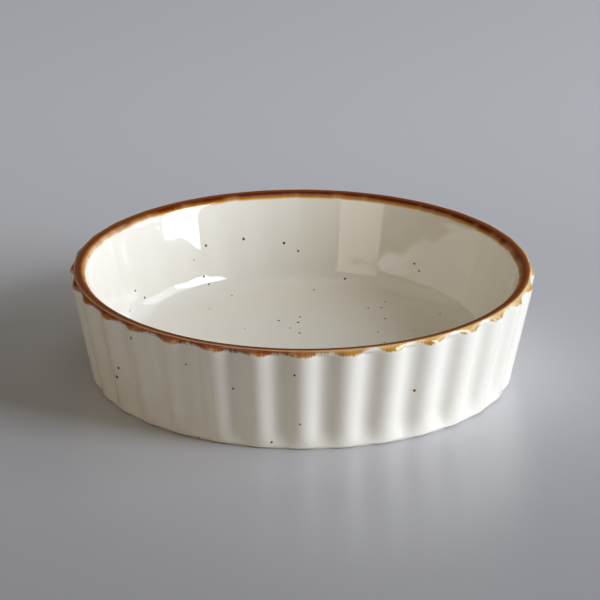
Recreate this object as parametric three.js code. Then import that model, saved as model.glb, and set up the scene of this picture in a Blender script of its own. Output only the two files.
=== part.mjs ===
// Round creme brulee dish with a fluted wall: a pressed stoneware body under fired-on coats of glaze.
// Millimetres, +Z up. The origin is the middle of the foot, on the surface that the dish stands on.
import * as THREE from 'three';

// Finished sizes, measured over the glaze
const RIM_DIAMETER = 120.6;
const BASE_DIAMETER = 109.3;
const HEIGHT = 28.6;
const LIP_THICKNESS = 4.7;
const FLOOR_THICKNESS = 3.6;
const WELL_FILLET = 8;
const WALL_TAPER = THREE.MathUtils.degToRad(3.1);

// Foot ring, bare clay that the dish stands on
const FOOT_WIDTH = 4.5;
const FOOT_RECESS = 1;
const FOOT_BEVEL = 0.8;

// Flutes: round lobes around the outside of the wall, one of them facing -Y. Each lobe's own round takes this
// share of the way to the valley, and the valley's round takes the rest.
const FLUTE_COUNT = 32;
const FLUTE_DEPTH = 1.2;
const LOBE_SHARE = 0.63;

// Coats of glaze, how far the longest runs of the rim's band reach from the crest of the lip, and the gaps
// between the solids
const GLAZE = 0.4;
const RIM_BAND_REACH = 5;
const BOND_GAP = 0.05;
const COAT_GAP = 0.06;

// Facets of the round stretches
const FACETS_PER_FLUTE = 4;
const LIP_FACETS = 3;
const FILLET_FACETS = 3;

// Fired materials: dry clay, cream glaze and brown rim glaze
const CLAY = { color: 0xcbbb9f, roughness: 0.85, metalness: 0 };
const CREAM = { color: 0xf1eee5, roughness: 0.15, metalness: 0 };
const BROWN = { color: 0x7a4119, roughness: 0.2, metalness: 0 };

// Stretches of the finished outline, in radius and height. Each gives its length and, at a distance along
// it, the point there and the direction that the surface faces.
function straight(from, to, facing) {
  const length = from.distanceTo(to);
  const at = (distance) => ({ point: from.clone().lerp(to, distance / length), facing });
  return { length, at, facets: 1 };
}

function round(centre, radius, startAngle, endAngle, facets, side) {
  const length = radius * Math.abs(endAngle - startAngle);
  const at = (distance) => {
    const angle = THREE.MathUtils.lerp(startAngle, endAngle, distance / length);
    const spoke = direction(angle);
    return { point: centre.clone().addScaledVector(spoke, radius), facing: spoke.multiplyScalar(side) };
  };
  return { length, at, facets };
}

function direction(angle) {
  return new THREE.Vector2(Math.cos(angle), Math.sin(angle));
}

// The outside wall rises straight from the base and runs smoothly into the round of the lip.
const lipRadius = LIP_THICKNESS / 2;
const lipCentre = new THREE.Vector2(RIM_DIAMETER / 2 - lipRadius, HEIGHT - lipRadius);
const baseEdge = new THREE.Vector2(BASE_DIAMETER / 2, 0);
const lipFromBase = lipCentre.clone().sub(baseEdge);
const wallDraft = Math.atan2(lipFromBase.x, lipFromBase.y) + Math.asin(lipRadius / lipFromBase.length());
const wallFacing = direction(-wallDraft);
const wallStart = new THREE.Vector2(baseEdge.x + FOOT_BEVEL * Math.tan(wallDraft), FOOT_BEVEL);
const wallEnd = lipCentre.clone().addScaledVector(wallFacing, lipRadius);

// The inside wall leans a little more than the outside one, so that the wall thickens towards the floor, and
// then turns into the flat floor of the well.
const floorTop = FOOT_RECESS + FLOOR_THICKNESS;
const wellDraft = wallDraft + WALL_TAPER;
const wellFacing = direction(Math.PI - wellDraft);
const wellStart = lipCentre.clone().addScaledVector(wellFacing, lipRadius);
const filletHeight = floorTop + WELL_FILLET;
const wellEndHeight = filletHeight - WELL_FILLET * Math.sin(wellDraft);
const wellEndRadius = wellStart.x - (wellStart.y - wellEndHeight) * Math.tan(wellDraft);
const wellEnd = new THREE.Vector2(wellEndRadius, wellEndHeight);
const filletCentre = wellEnd.clone().addScaledVector(wellFacing, WELL_FILLET);
const floorEdge = new THREE.Vector2(filletCentre.x, floorTop);
const floorMiddle = new THREE.Vector2(0, floorTop);

// The finished outline, from the foot up the outside, over the lip and down to the middle of the well
const outsideWall = straight(wallStart, wallEnd, wallFacing);
const shoulder = round(lipCentre, lipRadius, -wallDraft, 0, 1, 1);
const outerLip = round(lipCentre, lipRadius, 0, Math.PI / 2, LIP_FACETS, 1);
const innerLip = round(lipCentre, lipRadius, Math.PI / 2, Math.PI - wellDraft, LIP_FACETS, 1);
const insideWall = straight(wellStart, wellEnd, wellFacing);
const fillet = round(filletCentre, WELL_FILLET, -wellDraft, -Math.PI / 2, FILLET_FACETS, -1);
const floor = straight(floorEdge, floorMiddle, direction(Math.PI / 2));
const outline = [outsideWall, shoulder, outerLip, innerLip, insideWall, fillet, floor];

const crest = outsideWall.length + shoulder.length + outerLip.length;
const bandBottomOutside = crest - RIM_BAND_REACH;
const bandBottomInside = crest + RIM_BAND_REACH;
const outlineLength = outline.reduce((sum, stretch) => sum + stretch.length, 0);

// Distances along the outline at which every solid has a row of points, so that the coats follow the clay
const stations = [bandBottomOutside, bandBottomInside, outlineLength];
let stretchStart = 0;
for (const stretch of outline) {
  for (let facet = 0; facet < stretch.facets; facet += 1) {
    stations.push(stretchStart + (stretch.length * facet) / stretch.facets);
  }
  stretchStart += stretch.length;
}
stations.sort((a, b) => a - b);

// A row of points at a distance along the outline, an inset below the finished surface. The flutes are at
// full depth on the wall and die out over the round of the lip.
function rowAt(distance, inset) {
  let rest = distance;
  let index = 0;
  while (index < outline.length - 1 && rest > outline[index].length) {
    rest -= outline[index].length;
    index += 1;
  }
  const { point, facing } = outline[index].at(rest);
  const place = point.clone().addScaledVector(facing, -inset);
  const flute = THREE.MathUtils.clamp((crest - distance) / (crest - outsideWall.length), 0, 1);
  return { distance, radius: Math.max(place.x, 0), height: place.y, flute };
}

function rowsBetween(start, end, inset) {
  const between = stations.filter((station) => station > start && station < end);
  return [start, ...between, end].map((distance) => rowAt(distance, inset));
}

// A row off the outline, on the underside of the dish
function footRow(radius, height, flute = 0) {
  return { distance: 0, radius, height, flute };
}

// A coat between two distances along the outline, closed around its two edges
function coatRing(start, end) {
  const outer = rowsBetween(start, end, 0);
  const inner = rowsBetween(start, end, GLAZE);
  return [...outer, ...inner.reverse(), outer[0]];
}

// Share of the flutes' depth at an angle: 0 on the middle of a lobe, 1 in the valley between two lobes
function valleyShare(angle) {
  const lobes = (angle * FLUTE_COUNT) / (2 * Math.PI);
  const offMiddle = 2 * Math.abs(lobes - Math.round(lobes));
  const offValley = 1 - offMiddle;
  if (offMiddle < LOBE_SHARE) return offMiddle ** 2 / LOBE_SHARE;
  return 1 - offValley ** 2 / (1 - LOBE_SHARE);
}

// A solid turned from its rows about the Z axis, with the flutes pressed into it. Rows that run back along the
// outline are split along the other diagonal, so that a coat's facets lie parallel to the clay's.
function turnedMesh(name, rows, finish) {
  const segments = FLUTE_COUNT * FACETS_PER_FLUTE;
  const profile = rows.map((row) => new THREE.Vector2(row.radius, row.height));
  const geometry = new THREE.LatheGeometry(profile, segments);
  const position = geometry.attributes.position;
  const triangles = [];
  for (let segment = 0; segment <= segments; segment += 1) {
    const angle = (2 * Math.PI * segment) / segments;
    const depth = FLUTE_DEPTH * valleyShare(angle);
    rows.forEach((row, index) => {
      const radius = row.radius - depth * row.flute;
      const vertex = segment * rows.length + index;
      position.setXYZ(vertex, radius * Math.sin(angle), -radius * Math.cos(angle), row.height);
      if (segment === segments || index === rows.length - 1) return;
      const beside = vertex + rows.length;
      const runsBack = rows[index + 1].distance < row.distance;
      triangles.push(vertex, beside, runsBack ? beside + 1 : vertex + 1);
      triangles.push(beside + 1, vertex + 1, runsBack ? vertex : beside);
    });
  }
  geometry.setIndex(triangles);
  geometry.computeVertexNormals();
  const mesh = new THREE.Mesh(geometry, new THREE.MeshStandardMaterial(finish));
  mesh.name = name;
  return mesh;
}

// Clay body: underside and foot ring, then the whole outline inset by the coat that lies on it
function stonewareBody() {
  const inset = GLAZE + BOND_GAP;
  const wall = rowsBetween(0, outlineLength, inset);
  const underside = FOOT_RECESS + inset;
  const footOuter = wall[0].radius - FOOT_BEVEL;
  const footInner = footOuter - FOOT_WIDTH;
  const rows = [
    footRow(0, underside),
    footRow(footInner - underside, underside),
    footRow(footInner, 0),
    footRow(footOuter, 0, 1),
    ...wall,
  ];
  return turnedMesh('stoneware_body', rows, CLAY);
}

function outsideGlaze() {
  const rows = coatRing(0, bandBottomOutside - COAT_GAP / 2);
  return turnedMesh('outside_glaze', rows, CREAM);
}

function rimBand() {
  const rows = coatRing(bandBottomOutside + COAT_GAP / 2, bandBottomInside - COAT_GAP / 2);
  return turnedMesh('rim_band', rows, BROWN);
}

function insideGlaze() {
  const start = bandBottomInside + COAT_GAP / 2;
  const onClay = rowsBetween(start, outlineLength, GLAZE);
  const finished = rowsBetween(start, outlineLength, 0);
  return turnedMesh('inside_glaze', [...onClay.reverse(), ...finished], CREAM);
}

function bottomGlaze() {
  const inset = GLAZE + BOND_GAP;
  const footInner = rowAt(0, inset).radius - FOOT_BEVEL - FOOT_WIDTH;
  const edge = footInner - FOOT_RECESS - inset - COAT_GAP;
  const top = FOOT_RECESS + GLAZE;
  const rows = [footRow(0, FOOT_RECESS), footRow(edge, FOOT_RECESS), footRow(edge, top), footRow(0, top)];
  return turnedMesh('bottom_glaze', rows, CREAM);
}

const dish = new THREE.Group();
dish.name = 'creme_brulee_dish';
dish.add(stonewareBody(), outsideGlaze(), insideGlaze(), rimBand(), bottomGlaze());

export default dish;
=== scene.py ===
import math
import random

import bpy
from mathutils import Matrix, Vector


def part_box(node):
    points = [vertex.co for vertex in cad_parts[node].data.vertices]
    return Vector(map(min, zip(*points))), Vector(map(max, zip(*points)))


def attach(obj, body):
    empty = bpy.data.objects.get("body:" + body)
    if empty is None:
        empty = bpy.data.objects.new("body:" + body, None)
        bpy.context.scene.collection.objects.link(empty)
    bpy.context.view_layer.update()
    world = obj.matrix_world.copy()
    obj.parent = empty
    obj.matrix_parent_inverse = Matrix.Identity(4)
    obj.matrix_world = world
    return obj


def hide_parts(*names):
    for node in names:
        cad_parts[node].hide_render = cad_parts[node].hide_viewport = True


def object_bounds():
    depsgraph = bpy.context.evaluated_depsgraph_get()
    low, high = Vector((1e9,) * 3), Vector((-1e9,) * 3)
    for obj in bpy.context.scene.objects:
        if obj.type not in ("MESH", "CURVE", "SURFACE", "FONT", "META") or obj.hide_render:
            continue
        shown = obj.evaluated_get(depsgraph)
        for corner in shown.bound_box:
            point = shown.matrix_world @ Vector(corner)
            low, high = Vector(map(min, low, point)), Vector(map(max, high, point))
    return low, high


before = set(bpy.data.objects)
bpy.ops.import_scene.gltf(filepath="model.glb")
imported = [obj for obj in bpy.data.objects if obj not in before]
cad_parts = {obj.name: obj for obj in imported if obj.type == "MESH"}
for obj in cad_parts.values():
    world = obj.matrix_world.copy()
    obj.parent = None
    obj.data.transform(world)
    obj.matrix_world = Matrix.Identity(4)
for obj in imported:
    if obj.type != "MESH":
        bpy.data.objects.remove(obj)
cad_low, cad_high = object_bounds()
bpy.ops.object.select_all(action="DESELECT")


# Camera: a long lens looking along +Y and down into the dish, from so far away that the rim is almost a
# true ellipse. The middle of the rim falls on the pixel where the photograph has it.
IMAGE_SIZE = 600
FOCAL_PIXELS = 4745
RIM_MIDDLE_PIXEL = (302.1, 266.3)
CAMERA_DISTANCE = 1.229
CAMERA_ELEVATION = math.radians(20.7)
CAMERA_ROLL = math.radians(0.26)

rim_middle = Vector((0, 0, cad_high.z))
camera_back = Vector((0, -math.cos(CAMERA_ELEVATION), math.sin(CAMERA_ELEVATION)))
camera_up = Vector((0, math.sin(CAMERA_ELEVATION), math.cos(CAMERA_ELEVATION)))
pixel_at_rim = CAMERA_DISTANCE / FOCAL_PIXELS
off_right = (RIM_MIDDLE_PIXEL[0] - IMAGE_SIZE / 2) * pixel_at_rim
off_up = (IMAGE_SIZE / 2 - RIM_MIDDLE_PIXEL[1]) * pixel_at_rim
camera_place = rim_middle + CAMERA_DISTANCE * camera_back
camera_aim = rim_middle - off_right * Vector((1, 0, 0)) - off_up * camera_up

bpy.ops.object.camera_add(location=camera_place)
camera = bpy.context.object
camera.name = "camera"
camera.data.lens = camera.data.sensor_width * FOCAL_PIXELS / IMAGE_SIZE
camera.rotation_euler = (camera_place - camera_aim).to_track_quat("Z", "Y").to_euler()
camera.rotation_euler.rotate_axis("Z", CAMERA_ROLL)
bpy.context.scene.camera = camera


# Stoneware body: buff clay pressed in a fluted mould, with a flat floor, a round lip and a foot ring. It is
# fired under its glazes, so bare clay shows only on the foot ring and in the thin line under the glaze.
MM = 0.001
RIM_RADIUS = cad_high.x
HEIGHT = cad_high.z
BASE_RADIUS = 54.65 * MM
LIP_WIDTH = 4.7 * MM
LIP_OUTER_ROUND = 1.7 * MM
LIP_CREST_ROUND = 5 * MM
LIP_INNER_ROUND = 2.2 * MM
CREST_INNER_TURN = math.radians(15)
WELL_DRAFT = math.radians(15.4)
WELL_FILLET = 6.3 * MM
FOOT_WIDTH = 4.5 * MM
FOOT_ROUND = 0.3 * MM
FOOT_ROLL = 0.9 * MM
FOOT_ROLL_LIFT = 0.06 * MM
FOOT_ROLL_END = math.radians(-85)
BOND_GAP = 0.05 * MM
FLUTE_COUNT = 32
FLUTE_DEPTH = 1.75 * MM
LOBE_SHARE = 0.56
BASE_FLUTE_SHARE = 0.25
BASE_FLUTE_RISE = (0.6 * MM, 4 * MM)
INSIDE_FLUTE_SHARE = 0.06
COLUMNS = 12 * FLUTE_COUNT
MERGE_DISTANCE = 0.002 * MM

# In degrees: between which turns the flutes die out, round the lip and round the roll at the foot, and the
# sharpest turn that is shaded smooth
LIP_FLUTE_FADE = (15, 75)
FOOT_FLUTE_RISE = (-88, -55)
SHARP_TURN = 40

foot_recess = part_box("bottom_glaze")[0].z
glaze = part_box("bottom_glaze")[1].z - foot_recess
floor_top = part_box("inside_glaze")[0].z + glaze


def spoke(angle):
    """A direction in radius and height: 0 faces outwards, a quarter turn faces up."""
    return Vector((math.cos(angle), math.sin(angle)))


# The lip: a tight round outside, a nearly flat crest and a fuller round inside
crest_outer_turn = math.asin(
    (LIP_WIDTH - LIP_OUTER_ROUND - LIP_INNER_ROUND
     - (LIP_CREST_ROUND - LIP_INNER_ROUND) * math.sin(CREST_INNER_TURN))
    / (LIP_CREST_ROUND - LIP_OUTER_ROUND))
crest_start = math.pi / 2 - crest_outer_turn
crest_end = math.pi / 2 + CREST_INNER_TURN
lip_outer_x = RIM_RADIUS - LIP_OUTER_ROUND
crest_x = lip_outer_x - (LIP_CREST_ROUND - LIP_OUTER_ROUND) * math.sin(crest_outer_turn)
crest_centre = Vector((crest_x, HEIGHT - LIP_CREST_ROUND))
lip_outer = crest_centre + (LIP_CREST_ROUND - LIP_OUTER_ROUND) * spoke(crest_start)
lip_inner = crest_centre + (LIP_CREST_ROUND - LIP_INNER_ROUND) * spoke(crest_end)
lip_middle = Vector((RIM_RADIUS - LIP_WIDTH / 2, HEIGHT - LIP_WIDTH / 2))

# The outside wall runs into the lip, and rolls under just above the table
lip_from_base = lip_outer - Vector((BASE_RADIUS, 0))
lip_turn = math.asin(LIP_OUTER_ROUND / lip_from_base.length)
wall_draft = math.atan2(lip_from_base.x, lip_from_base.y) + lip_turn
roll_height = FOOT_ROLL + FOOT_ROLL_LIFT
roll_x = BASE_RADIUS + roll_height * math.tan(wall_draft) - FOOT_ROLL / math.cos(wall_draft)
foot_roll = Vector((roll_x, roll_height))

# The inside wall leans a little more, and turns into the floor of the well
well_facing = spoke(math.pi - WELL_DRAFT)
fillet_height = floor_top + WELL_FILLET
fillet_top = lip_inner + (LIP_INNER_ROUND + WELL_FILLET) * well_facing
fillet_x = fillet_top.x - (fillet_top.y - fillet_height) * math.tan(WELL_DRAFT)
fillet_centre = Vector((fillet_x, fillet_height))


def straight(start, end, steps):
    """Points from one place to another, both included."""
    return [start.lerp(end, step / steps) for step in range(steps + 1)]


def arc(centre, radius, start, end, steps):
    """Points round a centre, from one angle to another, both included."""
    angles = [start + (end - start) * step / steps for step in range(steps + 1)]
    return [centre + radius * spoke(angle) for angle in angles]


def lip_arcs(inset):
    """The outline over the lip, from the outside wall to the inside wall, below the finished surface."""
    return [
        *arc(lip_outer, LIP_OUTER_ROUND - inset, -wall_draft, crest_start, 10),
        *arc(crest_centre, LIP_CREST_ROUND - inset, crest_start, crest_end, 4)[1:],
        *arc(lip_inner, LIP_INNER_ROUND - inset, crest_end, math.pi - WELL_DRAFT, 6)[1:],
    ]


def turned(name, outline, faces_axis=False):
    """A mesh turned about the upright axis: its outline is drawn on the -Y side and spun round."""
    bpy.ops.object.select_all(action="DESELECT")
    bpy.ops.mesh.primitive_plane_add(size=MM)
    piece = bpy.context.object
    piece.name = name
    piece.data.name = name
    bpy.ops.object.mode_set(mode="EDIT")
    bpy.ops.mesh.merge(type="CENTER")
    bpy.ops.transform.translate(value=(0, -outline[0].x, outline[0].y))
    for before, after in zip(outline, outline[1:]):
        step = (0, before.x - after.x, after.y - before.y)
        bpy.ops.mesh.extrude_vertices_move(TRANSFORM_OT_translate={"value": step})
    bpy.ops.mesh.select_all(action="SELECT")
    bpy.ops.mesh.spin(steps=COLUMNS, angle=2 * math.pi, center=(0, 0, 0), axis=(0, 0, 1))
    bpy.ops.mesh.select_all(action="SELECT")
    bpy.ops.mesh.remove_doubles(threshold=MERGE_DISTANCE)
    bpy.ops.mesh.normals_make_consistent(inside=faces_axis)
    bpy.ops.object.mode_set(mode="OBJECT")
    return piece


def ease(value, start, end):
    """0 before the start, 1 after the end and a smooth rise between them."""
    share = min(max((value - start) / (end - start), 0), 1)
    return share * share * (3 - 2 * share)


def flute_share(place):
    """How deep a place is pressed, as a share of the flutes' depth. Outside, the valleys between the lobes
    are pressed in, and die out over the lip and under the foot. Inside, a faint echo of the lobes stays."""
    radius = place.xy.length
    lobes = math.atan2(place.x, -place.y) * FLUTE_COUNT / (2 * math.pi)
    off_middle = 2 * abs(lobes - round(lobes))
    valley = off_middle ** 2 / LOBE_SHARE
    if off_middle > LOBE_SHARE:
        valley = 1 - (1 - off_middle) ** 2 / (1 - LOBE_SHARE)
    wall_middle = lip_middle.x - (lip_middle.y - place.z) * math.tan((wall_draft + WELL_DRAFT) / 2)
    if radius > wall_middle:
        over_lip = math.degrees(math.atan2(place.z - lip_outer.y, radius - lip_outer.x))
        under_foot = math.degrees(math.atan2(place.z - foot_roll.y, radius - foot_roll.x))
        below_crest = 1 - ease(over_lip, *LIP_FLUTE_FADE)
        above_foot = BASE_FLUTE_SHARE + (1 - BASE_FLUTE_SHARE) * ease(place.z, *BASE_FLUTE_RISE)
        return valley * below_crest * above_foot * ease(under_foot, *FOOT_FLUTE_RISE)
    below_lip = 1 - ease(place.z, HEIGHT - LIP_WIDTH, HEIGHT)
    above_floor = ease(place.z, floor_top, floor_top + WELL_FILLET)
    return INSIDE_FLUTE_SHARE * (1 - valley) * below_lip * above_floor


def apply_modifier(piece, kind, **settings):
    """Adds a modifier with its settings and applies it."""
    bpy.context.view_layer.objects.active = piece
    modifier = piece.modifiers.new(kind.lower(), kind)
    for setting, value in settings.items():
        setattr(modifier, setting, value)
    bpy.ops.object.modifier_apply(modifier=modifier.name)


def press_flutes(piece):
    """Presses the flutes into a turned piece, along its surface normals."""
    flutes = piece.vertex_groups.new(name="flutes")
    for vertex in piece.data.vertices:
        flutes.add([vertex.index], flute_share(vertex.co), "REPLACE")
    apply_modifier(piece, "DISPLACE", vertex_group="flutes", mid_level=0, strength=-FLUTE_DEPTH)
    piece.vertex_groups.remove(piece.vertex_groups["flutes"])


def smooth_shade(piece, sharp_turn=SHARP_TURN):
    """Shades a piece smooth, but for edges that turn more sharply than an angle, in degrees."""
    bpy.ops.object.select_all(action="DESELECT")
    piece.select_set(True)
    bpy.context.view_layer.objects.active = piece
    bpy.ops.object.shade_smooth_by_angle(angle=math.radians(sharp_turn))


def colour(code):
    """A linear colour from an sRGB hex code."""
    channels = [int(code[place:place + 2], 16) / 255 for place in (1, 3, 5)]
    linear = [part / 12.92 if part < 0.04045 else ((part + 0.055) / 1.055) ** 2.4 for part in channels]
    return (*linear, 1)


def add_node(tree, kind, inputs, **settings):
    """Adds a node with its settings. Each input is a value, or an output of another node to link."""
    made = tree.nodes.new(kind)
    for setting, value in settings.items():
        setattr(made, setting, value)
    for socket, value in inputs.items():
        if isinstance(value, bpy.types.NodeSocket):
            tree.links.new(value, made.inputs[socket])
        else:
            made.inputs[socket].default_value = value
    return made


def new_material(name):
    """An empty node material and its tree."""
    material = bpy.data.materials.new(name)
    material.use_nodes = True
    material.node_tree.nodes.clear()
    return material, material.node_tree


# Fired buff stoneware: dry and matt, with fine grog in a warm, slightly uneven body colour.
GROG_SIZE = 0.35 * MM
BODY_CLOUD_SIZE = 9 * MM
FIRED_IOR = 1.62

clay, tree = new_material("fired_buff_stoneware")
coords = add_node(tree, "ShaderNodeTexCoord", {}).outputs["Object"]
clouds = add_node(tree, "ShaderNodeTexNoise", {
    "Vector": coords,
    "Scale": 1 / BODY_CLOUD_SIZE,
    "Detail": 4,
})
grog = add_node(tree, "ShaderNodeTexVoronoi", {"Vector": coords, "Scale": 1 / GROG_SIZE})
body_tone = add_node(tree, "ShaderNodeMix", {
    "Factor": clouds.outputs["Fac"],
    "A": colour("#b79f7c"),
    "B": colour("#cdb997"),
}, data_type="RGBA")
grog_tone = add_node(tree, "ShaderNodeMapRange", {
    "Value": grog.outputs["Distance"],
    "From Max": 0.5,
    "To Min": 0.25,
    "To Max": 0,
})
clay_colour = add_node(tree, "ShaderNodeMix", {
    "Factor": grog_tone.outputs["Result"],
    "A": body_tone.outputs[2],
    "B": colour("#8a6f4d"),
}, data_type="RGBA")
clay_bump = add_node(tree, "ShaderNodeBump", {
    "Height": grog.outputs["Distance"],
    "Strength": 0.3,
    "Distance": 0.1 * MM,
})
clay_shader = add_node(tree, "ShaderNodeBsdfPrincipled", {
    "Base Color": clay_colour.outputs[2],
    "Normal": clay_bump.outputs["Normal"],
    "Roughness": 0.85,
    "IOR": FIRED_IOR,
})
add_node(tree, "ShaderNodeOutputMaterial", {"Surface": clay_shader.outputs["BSDF"]})

# The clay's outline lies under the coats, and is bare on the foot ring
under_glaze = glaze + BOND_GAP
body_roll = arc(foot_roll, FOOT_ROLL - under_glaze, FOOT_ROLL_END, -wall_draft, 6)
body_lip = lip_arcs(under_glaze)
well_bottom = fillet_centre - (WELL_FILLET + under_glaze) * well_facing
floor_clay = floor_top - under_glaze
underside = foot_recess + under_glaze
foot_outer = body_roll[0].x
foot_inner = foot_outer - FOOT_WIDTH
body_outline = [
    *straight(Vector((0, underside)), Vector((foot_inner - underside, underside)), 4),
    *arc(Vector((foot_inner + FOOT_ROUND, FOOT_ROUND)), FOOT_ROUND, math.pi * 5 / 4, math.pi * 3 / 2, 2),
    *arc(Vector((foot_outer - FOOT_ROUND, FOOT_ROUND)), FOOT_ROUND, -math.pi / 2, 0, 3),
    *body_roll,
    *straight(body_roll[-1], body_lip[0], 8)[1:],
    *body_lip[1:],
    *straight(body_lip[-1], well_bottom, 5)[1:],
    *arc(fillet_centre, WELL_FILLET + under_glaze, -WELL_DRAFT, -math.pi / 2, 6)[1:],
    *straight(Vector((fillet_centre.x, floor_clay)), Vector((0, floor_clay)), 5)[1:],
]
stoneware_body = turned("stoneware_body_clay", body_outline)
press_flutes(stoneware_body)
smooth_shade(stoneware_body)
stoneware_body.data.materials.append(clay)
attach(stoneware_body, "root")
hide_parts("stoneware_body")


# Outside glaze: a cream coat dipped over the fluted wall and fired to a gloss. It rolls under at the bottom,
# down to the dry foot, and at the top it meets the glaze of the rim.
RIM_BAND_DROP = 3.6 * MM

lip_outline = lip_arcs(0)
wall_top = lip_outline[0]
seam_height = HEIGHT - RIM_BAND_DROP
wall_seam = Vector((wall_top.x - (wall_top.y - seam_height) * math.tan(wall_draft), seam_height))

# Cream tin glaze: glossy and opaque, with a faint cloudiness and the low ripple of a melted coat.
CREAM_CLOUD_SIZE = 11 * MM
RIPPLE_SIZE = 7 * MM
RIPPLE_HEIGHT = 0.06 * MM

# Nearly all of a noise lies between these values
NOISE_LOW = 0.3
NOISE_HIGH = 0.7


def add_cream(tree, coords):
    """Adds the nodes of the cream glaze to a tree. Gives its colour, its roughness and its surface."""
    clouds = add_node(tree, "ShaderNodeTexNoise", {
        "Vector": coords,
        "Scale": 1 / CREAM_CLOUD_SIZE,
        "Detail": 3,
    })
    tone = add_node(tree, "ShaderNodeMix", {
        "Factor": clouds.outputs["Fac"],
        "A": colour("#efe7d6"),
        "B": colour("#f3ecdf"),
    }, data_type="RGBA")
    gloss = add_node(tree, "ShaderNodeMapRange", {
        "Value": clouds.outputs["Fac"],
        "From Min": NOISE_LOW,
        "From Max": NOISE_HIGH,
        "To Min": 0.03,
        "To Max": 0.06,
    })
    ripple = add_node(tree, "ShaderNodeTexNoise", {
        "Vector": coords,
        "Scale": 1 / RIPPLE_SIZE,
        "Detail": 1,
    })
    surface = add_node(tree, "ShaderNodeBump", {
        "Height": ripple.outputs["Fac"],
        "Strength": 0.5,
        "Distance": RIPPLE_HEIGHT,
    })
    return tone.outputs[2], gloss.outputs["Result"], surface.outputs["Normal"]


cream, tree = new_material("cream_gloss_glaze")
coords = add_node(tree, "ShaderNodeTexCoord", {}).outputs["Object"]
cream_colour, cream_gloss, cream_surface = add_cream(tree, coords)
cream_shader = add_node(tree, "ShaderNodeBsdfPrincipled", {
    "Base Color": cream_colour,
    "Roughness": cream_gloss,
    "Normal": cream_surface,
    "IOR": FIRED_IOR,
})
add_node(tree, "ShaderNodeOutputMaterial", {"Surface": cream_shader.outputs["BSDF"]})


def close_middle(piece):
    """Closes the small round hole that an outline leaves round the axis."""
    bpy.ops.object.mode_set(mode="EDIT")
    bpy.ops.mesh.select_all(action="DESELECT")
    bpy.ops.object.mode_set(mode="OBJECT")
    smallest = min(vertex.co.xy.length for vertex in piece.data.vertices)
    for vertex in piece.data.vertices:
        vertex.select = vertex.co.xy.length < smallest + MERGE_DISTANCE
    bpy.ops.object.mode_set(mode="EDIT")
    bpy.ops.mesh.select_mode(type="VERT")
    bpy.ops.mesh.extrude_edges_move()
    bpy.ops.mesh.merge(type="CENTER")
    bpy.ops.object.mode_set(mode="OBJECT")


def coat(name, outline, faces_axis=False):
    """A coat of glaze: its finished surface is turned and fluted, and then thickened down to the clay."""
    piece = turned(name, outline, faces_axis)
    press_flutes(piece)
    apply_modifier(piece, "SUBSURF", levels=1, render_levels=1)
    if faces_axis:
        close_middle(piece)
    apply_modifier(piece, "SOLIDIFY", thickness=glaze, offset=-1, use_even_offset=True)
    smooth_shade(piece)
    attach(piece, "root")
    return piece


wall_roll = arc(foot_roll, FOOT_ROLL, FOOT_ROLL_END, -wall_draft, 8)
outside_glaze = coat("outside_glaze_coat", [*wall_roll, *straight(wall_roll[-1], wall_seam, 8)[1:]])
outside_glaze.data.materials.append(cream)
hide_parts("outside_glaze")


# Inside glaze: the same cream coat poured into the well, over the wall, the round at its foot and the flat
# floor. At the top it meets the glaze of the rim.
MIDDLE_HOLE = 2 * MM

well_top = lip_outline[-1]
well_seam = Vector((well_top.x - (well_top.y - seam_height) * math.tan(WELL_DRAFT), seam_height))
well_bottom = fillet_centre - WELL_FILLET * well_facing

inside_outline = [
    *straight(well_seam, well_bottom, 6),
    *arc(fillet_centre, WELL_FILLET, -WELL_DRAFT, -math.pi / 2, 8)[1:],
    *straight(Vector((fillet_centre.x, floor_top)), Vector((MIDDLE_HOLE, floor_top)), 6)[1:],
]
inside_glaze = coat("inside_glaze_coat", inside_outline, faces_axis=True)
inside_glaze.data.materials.append(cream)
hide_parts("inside_glaze")


# Rim band: iron-brown glaze brushed over the lip, on the cream. It lies dark on the crest, breaks to tan on
# the outer edge, and runs down amber over each lobe, with a streaked lower edge.
rim_outline = [wall_seam, *lip_outline, *straight(well_top, well_seam, 2)[1:]]
rim_band = coat("rim_band_coat", rim_outline)

# Iron-brown glaze, glossy: its colour goes with its thickness, from dark brown through rust and amber to the
# cream below it. Sides are bearings to the right of -Y: outside, the coat is heavy on one side and thin
# opposite, and inside, it is dark on one side and amber opposite.
STREAK_WIDTH = 0.4 * MM
RUN_WIDTH = 6 * MM
HEAVY_SIDE = math.radians(-47)
DARK_SIDE = math.radians(165)

brown, tree = new_material("iron_brown_rim_glaze")
coords = add_node(tree, "ShaderNodeTexCoord", {}).outputs["Object"]
cream_colour, cream_gloss, cream_surface = add_cream(tree, coords)
place = add_node(tree, "ShaderNodeSeparateXYZ", {"Vector": coords})
flat_place = add_node(tree, "ShaderNodeVectorMath", {0: coords, 1: (1, 1, 0)}, operation="MULTIPLY")
radius = add_node(tree, "ShaderNodeVectorMath", {0: flat_place.outputs[0]}, operation="LENGTH")
around = add_node(tree, "ShaderNodeVectorMath", {0: flat_place.outputs[0]}, operation="NORMALIZE")
around_rim = add_node(tree, "ShaderNodeVectorMath", {
    0: around.outputs[0],
    "Scale": RIM_RADIUS,
}, operation="SCALE")

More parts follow.
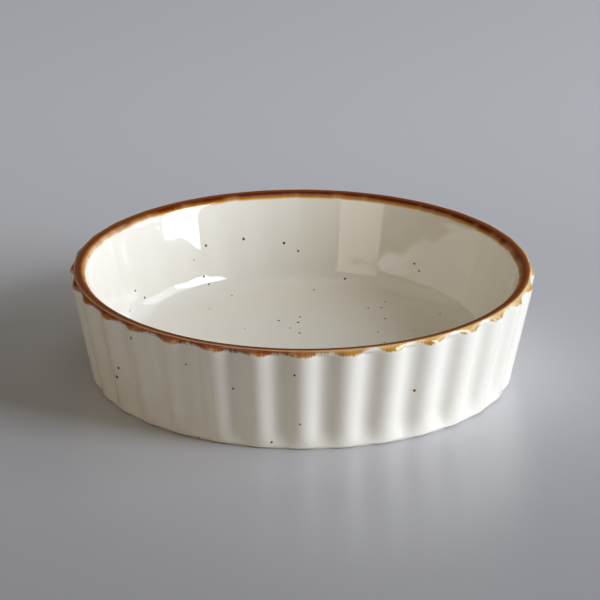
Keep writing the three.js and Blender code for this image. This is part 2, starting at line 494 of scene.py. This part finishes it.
# Millimetres round the lip from its crest, more than 0 outside
lip_out = add_node(tree, "ShaderNodeMath", {
    0: radius.outputs["Value"],
    1: lip_middle.x,
}, operation="SUBTRACT")
lip_up = add_node(tree, "ShaderNodeMath", {0: place.outputs["Z"], 1: lip_middle.y}, operation="SUBTRACT")
off_crest = add_node(tree, "ShaderNodeMath", {
    0: lip_out.outputs[0],
    1: lip_up.outputs[0],
}, operation="ARCTAN2")
from_crest = add_node(tree, "ShaderNodeMath", {
    0: off_crest.outputs[0],
    1: LIP_WIDTH / 2 / MM,
}, operation="MULTIPLY")
is_outside = add_node(tree, "ShaderNodeMath", {0: from_crest.outputs[0], 1: 0}, operation="GREATER_THAN")
down = add_node(tree, "ShaderNodeMath", {0: from_crest.outputs[0]}, operation="ABSOLUTE")

# Around the rim: slow runs and fine streaks, in millimetres, and 1 on the middle of a lobe, 0 in a valley
RUN_SWING = 0.3
STREAK_SWING = 0.17


def add_noise_round(width):
    """Adds noise that changes only around the rim, with patches of a width."""
    noise = add_node(tree, "ShaderNodeTexNoise", {
        "Vector": around_rim.outputs[0],
        "Scale": 1 / width,
        "Detail": 2,
    })
    return noise.outputs["Fac"]


def add_swing(noise, reach):
    """Adds the node that turns noise into a swing to both sides of 0."""
    swing = add_node(tree, "ShaderNodeMapRange", {
        "Value": noise,
        "From Min": NOISE_LOW,
        "From Max": NOISE_HIGH,
        "To Min": -reach,
        "To Max": reach,
    })
    return swing.outputs["Result"]


streaks = add_noise_round(STREAK_WIDTH)
streaky = add_swing(streaks, STREAK_SWING)
uneven = add_swing(add_noise_round(RUN_WIDTH), RUN_SWING)
backwards = add_node(tree, "ShaderNodeMath", {0: place.outputs["Y"], 1: -1}, operation="MULTIPLY")
bearing = add_node(tree, "ShaderNodeMath", {
    0: place.outputs["X"],
    1: backwards.outputs[0],
}, operation="ARCTAN2")
lobe_turn = add_node(tree, "ShaderNodeMath", {0: bearing.outputs[0], 1: FLUTE_COUNT}, operation="MULTIPLY")
lobe_wave = add_node(tree, "ShaderNodeMath", {0: lobe_turn.outputs[0]}, operation="COSINE")
lobe = add_node(tree, "ShaderNodeMapRange", {
    "Value": lobe_wave.outputs[0],
    "From Min": -0.9,
    "From Max": 0.8,
}, interpolation_type="SMOOTHSTEP")


def add_side(side, low, high):
    """Adds the nodes of a share that is 1 on the side of the rim at a bearing and 0 opposite, unevenly: it
    rises between two cosines of the turn from that side."""
    turn = add_node(tree, "ShaderNodeMath", {0: bearing.outputs[0], 1: side}, operation="SUBTRACT")
    wave = add_node(tree, "ShaderNodeMath", {0: turn.outputs[0]}, operation="COSINE")
    share = add_node(tree, "ShaderNodeMapRange", {
        "Value": wave.outputs[0],
        "From Min": low,
        "From Max": high,
    })
    mixed = add_node(tree, "ShaderNodeMath", {
        0: share.outputs["Result"],
        1: uneven,
    }, operation="ADD", use_clamp=True)
    return mixed.outputs[0]


heavy = add_side(HEAVY_SIDE, 0.35, 0.8)
dark = add_side(DARK_SIDE, -0.1, 0.7)

# The edge of the coat, in millimetres from the crest: outside, it hangs over each lobe and stays up in the
# valleys, and inside, it is nearly even
THIN_VALLEY_EDGE = 1.35
HEAVY_VALLEY_EDGE = 1.9
LOBE_EDGE = 2.85
AMBER_INNER_EDGE = 2.15
DARK_INNER_EDGE = 2.7
INNER_UNEVENNESS = 0.25

valley_edge = add_node(tree, "ShaderNodeMapRange", {
    "Value": heavy,
    "To Min": THIN_VALLEY_EDGE,
    "To Max": HEAVY_VALLEY_EDGE,
})
edge_over_lobe = add_node(tree, "ShaderNodeMix", {
    "Factor": lobe.outputs["Result"],
    "A": valley_edge.outputs["Result"],
    "B": LOBE_EDGE,
}, data_type="FLOAT")
edge_run = add_node(tree, "ShaderNodeMath", {0: edge_over_lobe.outputs[0], 1: uneven}, operation="ADD")
edge_out = add_node(tree, "ShaderNodeMath", {0: edge_run.outputs[0], 1: streaky}, operation="ADD")
edge_even = add_node(tree, "ShaderNodeMapRange", {
    "Value": dark,
    "To Min": AMBER_INNER_EDGE,
    "To Max": DARK_INNER_EDGE,
})
edge_in = add_node(tree, "ShaderNodeMath", {
    0: uneven,
    1: INNER_UNEVENNESS,
    2: edge_even.outputs["Result"],
}, operation="MULTIPLY_ADD")
edge = add_node(tree, "ShaderNodeMix", {
    "Factor": is_outside.outputs[0],
    "A": edge_in.outputs[0],
    "B": edge_out.outputs[0],
}, data_type="FLOAT")
to_edge = add_node(tree, "ShaderNodeMath", {0: edge.outputs[0], 1: down.outputs[0]}, operation="SUBTRACT")

# Colours by millimetres from the crest. Outside, the streaks shift them a little.
TONE_REACH = 4
HEAVY_TONES = ((0, "#7a3e22"), (0.6, "#7a4020"), (0.85, "#94623e"), (1.0, "#d09a6c"), (1.25, "#c8844a"),
               (1.4, "#8a3202"), (1.95, "#8c3e02"), (2.3, "#b06404"), (2.9, "#c07c0c"))
THIN_TONES = ((0, "#8a4414"), (0.5, "#9a5418"), (0.9, "#b07430"), (1.05, "#d9b987"), (1.45, "#dcb878"),
              (1.8, "#d0a038"), (2.2, "#bc8410"), (2.9, "#a87408"))
DARK_TONES = ((0, "#a04c12"), (0.4, "#80360a"), (0.8, "#5a2006"), (1.5, "#622406"), (1.9, "#a4580e"),
              (2.3, "#c4841e"), (2.7, "#d4a650"))
AMBER_TONES = ((0, "#6b3010"), (0.3, "#74380f"), (0.6, "#96501a"), (1.0, "#c47a2c"), (1.7, "#e4b878"))
half_outside = add_node(tree, "ShaderNodeMath", {0: is_outside.outputs[0], 1: 0.5}, operation="MULTIPLY")
wavy_down = add_node(tree, "ShaderNodeMath", {
    0: streaky,
    1: half_outside.outputs[0],
    2: down.outputs[0],
}, operation="MULTIPLY_ADD")
down_share = add_node(tree, "ShaderNodeMath", {0: wavy_down.outputs[0], 1: TONE_REACH}, operation="DIVIDE")


def add_tones(stops):
    """Adds a ramp of colours by millimetres from the crest."""
    ramp = add_node(tree, "ShaderNodeValToRGB", {"Fac": down_share.outputs[0]})
    for _ in stops[2:]:
        ramp.color_ramp.elements.new(0.5)
    for element, (distance, code) in zip(ramp.color_ramp.elements, stops):
        element.position = distance / TONE_REACH
        element.color = colour(code)
    return ramp.outputs["Color"]


outside_tone = add_node(tree, "ShaderNodeMix", {
    "Factor": heavy,
    "A": add_tones(THIN_TONES),
    "B": add_tones(HEAVY_TONES),
}, data_type="RGBA")
inside_tone = add_node(tree, "ShaderNodeMix", {
    "Factor": dark,
    "A": add_tones(AMBER_TONES),
    "B": add_tones(DARK_TONES),
}, data_type="RGBA")
rim_tone = add_node(tree, "ShaderNodeMix", {
    "Factor": is_outside.outputs[0],
    "A": inside_tone.outputs[2],
    "B": outside_tone.outputs[2],
}, data_type="RGBA")

# The coat thins out towards its edge, and low on the outside its streaks let the cream through
EDGE_FADE = 0.35
STREAKS_START = 1.5
STREAKS_FULL = 2.2
STREAK_COVER = 0.85

cover = add_node(tree, "ShaderNodeMapRange", {
    "Value": to_edge.outputs[0],
    "From Min": -EDGE_FADE,
    "From Max": EDGE_FADE,
}, interpolation_type="SMOOTHSTEP")
patchy = add_node(tree, "ShaderNodeMapRange", {
    "Value": streaks,
    "From Min": 0.35,
    "From Max": 0.6,
    "To Min": STREAK_COVER,
    "To Max": 1,
})
below_crest = add_node(tree, "ShaderNodeMapRange", {
    "Value": from_crest.outputs[0],
    "From Min": STREAKS_START,
    "From Max": STREAKS_FULL,
})
streak_cover = add_node(tree, "ShaderNodeMix", {
    "Factor": below_crest.outputs["Result"],
    "A": 1,
    "B": patchy.outputs["Result"],
}, data_type="FLOAT")
full_cover = add_node(tree, "ShaderNodeMath", {
    0: cover.outputs["Result"],
    1: streak_cover.outputs[0],
}, operation="MULTIPLY")
rim_colour = add_node(tree, "ShaderNodeMix", {
    "Factor": full_cover.outputs[0],
    "A": cream_colour,
    "B": rim_tone.outputs[2],
}, data_type="RGBA")
brown_shader = add_node(tree, "ShaderNodeBsdfPrincipled", {
    "Base Color": rim_colour.outputs[2],
    "Roughness": cream_gloss,
    "Normal": cream_surface,
    "IOR": FIRED_IOR,
})
add_node(tree, "ShaderNodeOutputMaterial", {"Surface": brown_shader.outputs["BSDF"]})
rim_band.data.materials.append(brown)
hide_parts("rim_band")


# Bottom glaze: a cream coat on the recessed underside, wiped clean off the foot ring so that the dish
# doesn't stick to the kiln shelf.
COAT_GAP = 0.06 * MM
GLAZE_BEAD = 0.15 * MM

bottom_edge = foot_inner - underside - COAT_GAP
bottom_top = foot_recess + glaze
bead = Vector((bottom_edge - GLAZE_BEAD, foot_recess + GLAZE_BEAD))
bottom_outline = [
    *straight(Vector((0, foot_recess)), Vector((bead.x, foot_recess)), 4),
    *arc(bead, GLAZE_BEAD, -math.pi / 2, 0, 3)[1:],
    *straight(Vector((bottom_edge, bottom_top)), Vector((0, bottom_top)), 4),
]
bottom_glaze = turned("bottom_glaze_coat", bottom_outline)
smooth_shade(bottom_glaze)
bottom_glaze.data.materials.append(cream)
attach(bottom_glaze, "root")
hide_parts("bottom_glaze")


# Iron specks: grains of iron in the clay that melt up through the cream glaze and set as small dark dots,
# flush but for a low dome. Those that the photograph shows are placed by their pixels, the others at random.
SPECK_RADIUS = 0.36 * MM
SPECK_DOME = 0.2
SPECK_STRETCH = (0.8, 1.2)
SPECK_SHARP_TURN = 60

# Each speck that shows: pixels across and down, and its size as a share of the usual one
SEEN_SPECKS = (
    (131, 338, 1.1), (118.5, 368, 1.1), (117, 377, 1.3), (186, 364.5, 0.8), (233, 388.6, 0.8),
    (294.5, 375.4, 0.9), (300, 424.5, 0.8), (271.6, 442.3, 0.9), (198.6, 437.4, 0.8), (414.4, 390.5, 1.1),
    (206, 245.5, 1.2), (243.6, 239, 1.2), (284, 243, 1.1), (298.2, 251, 0.8), (204, 276.3, 0.9),
    (209, 284.2, 0.8), (135.4, 290.7, 0.9), (144.7, 297.6, 0.9), (345, 278.7, 0.9), (314, 290, 0.8),
    (232, 295.5, 0.8), (300, 317, 1.1), (278.8, 320.6, 1), (298.2, 322.3, 1.2), (290, 328, 0.9),
    (299.6, 333, 1.2), (368.4, 308.2, 1), (381.4, 307.7, 1), (385, 301.7, 0.8), (385.2, 318.6, 1),
    (378, 332, 0.8), (385, 342.2, 0.8), (414.4, 263.7, 0.9), (419, 271, 0.9), (440, 314, 0.8),
    (194, 260, 0.6), (130, 310.8, 0.6), (209.7, 308.7, 0.6), (244.8, 328.7, 0.6), (413.6, 330, 0.6),
)

# The others: how many, their sizes, and millimetres above the table
HIDDEN_SPECK_SIZES = (0.6, 1.2)
WALL_SPECKS = 16
WALL_SPECK_LEVELS = (2, 23)
WELL_SPECKS = 12
WELL_SPECK_LEVELS = (12, 24)

chance = random.Random(7)
specks = []


def add_speck(start, towards, size):
    """Sets a speck of a size, as a share of the usual one, where a ray from a place first meets a coat."""
    casts = [piece.ray_cast(start, towards) for piece in (outside_glaze, inside_glaze, rim_band)]
    met = [(place, normal) for hit, place, normal, face in casts if hit]
    place, normal = min(met, key=lambda found: (found[0] - start).length)
    bpy.ops.mesh.primitive_ico_sphere_add(subdivisions=2, radius=SPECK_RADIUS * size, location=place)
    speck = bpy.context.object
    speck.scale = (chance.uniform(*SPECK_STRETCH), 1, SPECK_DOME)
    speck.rotation_euler = normal.to_track_quat("Z", "Y").to_euler()
    specks.append(speck)


bpy.context.view_layer.update()
for across, down_image, size in SEEN_SPECKS:
    offset = Vector((across - IMAGE_SIZE / 2, IMAGE_SIZE / 2 - down_image, -FOCAL_PIXELS))
    add_speck(camera_place, (camera.matrix_world.to_3x3() @ offset).normalized(), size)
for _ in range(WALL_SPECKS):
    turn = chance.uniform(math.pi / 2, math.pi * 3 / 2)
    level = chance.uniform(*WALL_SPECK_LEVELS) * MM
    towards = Vector((-math.sin(turn), math.cos(turn), 0))
    far_off = Vector((0, 0, level)) - towards * 2 * RIM_RADIUS
    add_speck(far_off, towards, chance.uniform(*HIDDEN_SPECK_SIZES))
for _ in range(WELL_SPECKS):
    turn = chance.uniform(-math.pi / 3, math.pi / 3)
    level = chance.uniform(*WELL_SPECK_LEVELS) * MM
    towards = Vector((math.sin(turn), -math.cos(turn), 0))
    add_speck(Vector((0, 0, level)), towards, chance.uniform(*HIDDEN_SPECK_SIZES))

bpy.ops.object.select_all(action="DESELECT")
for speck in specks:
    speck.select_set(True)
bpy.context.view_layer.objects.active = specks[0]
bpy.ops.object.join()
iron_specks = bpy.context.object
iron_specks.name = "iron_specks"
iron_specks.data.name = "iron_specks"
bpy.ops.object.transform_apply(location=True, rotation=True, scale=True)
smooth_shade(iron_specks, SPECK_SHARP_TURN)

# Iron spots in the glaze: glossy, from dark brown to a rusty brown.
SPOT_SIZE = 0.6 * MM

iron, tree = new_material("iron_spot_glaze")
coords = add_node(tree, "ShaderNodeTexCoord", {}).outputs["Object"]
rust = add_node(tree, "ShaderNodeTexNoise", {"Vector": coords, "Scale": 1 / SPOT_SIZE, "Detail": 2})
iron_tone = add_node(tree, "ShaderNodeMix", {
    "Factor": rust.outputs["Fac"],
    "A": colour("#4a1f10"),
    "B": colour("#7a3a22"),
}, data_type="RGBA")
iron_shader = add_node(tree, "ShaderNodeBsdfPrincipled", {
    "Base Color": iron_tone.outputs[2],
    "Roughness": 0.2,
    "IOR": FIRED_IOR,
})
add_node(tree, "ShaderNodeOutputMaterial", {"Surface": iron_shader.outputs["BSDF"]})
iron_specks.data.materials.append(iron)
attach(iron_specks, "root")


# Table: a sheet of plain grey background card under the dish, smooth enough to hold a faint sheen. Its
# colour is painted paler towards the back: painted light, for the brighter light on the far card.
TABLE_RADIUS = 6
TABLE_LIGHT_START = -0.2
TABLE_LIGHT_END = 0.26
TABLE_LIGHT_WAVER = 0.03
TABLE_CLOUD_SIZE = 0.125

bpy.ops.object.select_all(action="DESELECT")
bpy.ops.mesh.primitive_circle_add(vertices=96, radius=TABLE_RADIUS, fill_type="NGON")
table = bpy.context.object
table.name = "table"
table_card, tree = new_material("grey_background_card")
coords = add_node(tree, "ShaderNodeTexCoord", {}).outputs["Object"]
table_place = add_node(tree, "ShaderNodeSeparateXYZ", {"Vector": coords})
table_clouds = add_node(tree, "ShaderNodeTexNoise", {
    "Vector": coords,
    "Scale": 1 / TABLE_CLOUD_SIZE,
    "Detail": 3,
})
towards_back = add_node(tree, "ShaderNodeMath", {
    0: table_clouds.outputs["Fac"],
    1: TABLE_LIGHT_WAVER,
    2: table_place.outputs["Y"],
}, operation="MULTIPLY_ADD")
# Painted light: the card turns paler towards the back, with a slight waver, for the brighter light on the
# far card
table_painted_light = add_node(tree, "ShaderNodeMapRange", {
    "Value": towards_back.outputs[0],
    "From Min": TABLE_LIGHT_START,
    "From Max": TABLE_LIGHT_END,
}, interpolation_type="SMOOTHSTEP")
table_colour = add_node(tree, "ShaderNodeMix", {
    "Factor": table_painted_light.outputs["Result"],
    "A": colour("#adabac"),
    "B": colour("#e8e6e8"),
}, data_type="RGBA")
table_shader = add_node(tree, "ShaderNodeBsdfPrincipled", {
    "Base Color": table_colour.outputs[2],
    "Roughness": 0.3,
    "IOR": 1.35,
})
add_node(tree, "ShaderNodeOutputMaterial", {"Surface": table_shader.outputs["BSDF"]})
table.data.materials.append(table_card)


# Light: a large soft window of light in three panes on the right, from table height up, with weak warm
# panels in front on the left, high on the left and overhead, and a low warm card in front on the left.
LAMP_DISTANCE = 1.5
WINDOW_TINT = "#e8f1ff"
ROOM_LIGHT = 0.05


def softbox(name, bearing, elevation, width, height, power, tint):
    """An area light aimed at the dish. The bearing is in degrees from the camera's side, to the right."""
    turn = math.radians(bearing)
    rise = math.radians(elevation)
    out = Vector((math.sin(turn) * math.cos(rise), -math.cos(turn) * math.cos(rise), math.sin(rise)))
    bpy.ops.object.light_add(type="AREA", location=LAMP_DISTANCE * out)
    lamp = bpy.context.object
    lamp.name = name
    lamp.data.shape = "RECTANGLE"
    lamp.data.size = width
    lamp.data.size_y = height
    lamp.data.energy = power
    lamp.data.color = colour(tint)[:3]
    lamp.rotation_euler = out.to_track_quat("Z", "Y").to_euler()


softbox("window_light", 98, 18, 0.85, 1.15, 9, WINDOW_TINT)
softbox("window_light_front", 68, 18, 0.64, 1.2, 26.5, WINDOW_TINT)
softbox("window_light_back", 140, 24, 1, 1, 2.4, WINDOW_TINT)
softbox("fill_panel", -33, 16, 0.68, 0.7, 2.3, "#fff5e2")
softbox("warm_card", -40, 4, 1.4, 0.18, 0.3, "#ffe8c8")
softbox("top_panel", -80, 45, 1.6, 1.4, 2.3, "#fff4dc")
softbox("overhead_panel", 0, 85, 1, 1, 2, "#fff8ea")

world = bpy.data.worlds.new("studio")
bpy.context.scene.world = world
world.use_nodes = True
background = world.node_tree.nodes["Background"]
background.inputs["Color"].default_value = colour("#ffffff")
background.inputs["Strength"].default_value = ROOM_LIGHT

bpy.context.scene.view_settings.view_transform = "Standard"
